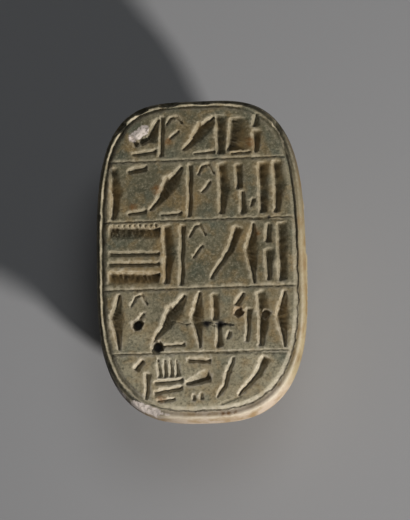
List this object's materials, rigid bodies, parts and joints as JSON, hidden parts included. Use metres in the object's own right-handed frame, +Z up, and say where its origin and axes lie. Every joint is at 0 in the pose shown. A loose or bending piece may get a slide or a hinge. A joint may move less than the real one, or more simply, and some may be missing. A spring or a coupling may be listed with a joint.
{
  "type": "scarab amulet",
  "caption": "Oval carved stone beetle amulet lying on its back, with a flat base of ruled rows of incised strokes and a lengthwise string hole.",
  "frame": {"origin": "centre of the outline, on the level surface that the beetle's back rests on", "axes": "+X to the right with the incised base in view and the head end at the top, +Y to the beetle's head, +Z up, out of the incised base"},
  "size_m": [0.0321, 0.05, 0.02],
  "materials": {
    "steatite": "hand-carved, worn to a dull sheen, with brown dirt in the cuts"
  },
  "bodies": {
    "root": {"scarab": "steatite"}
  },
  "joints": []
}
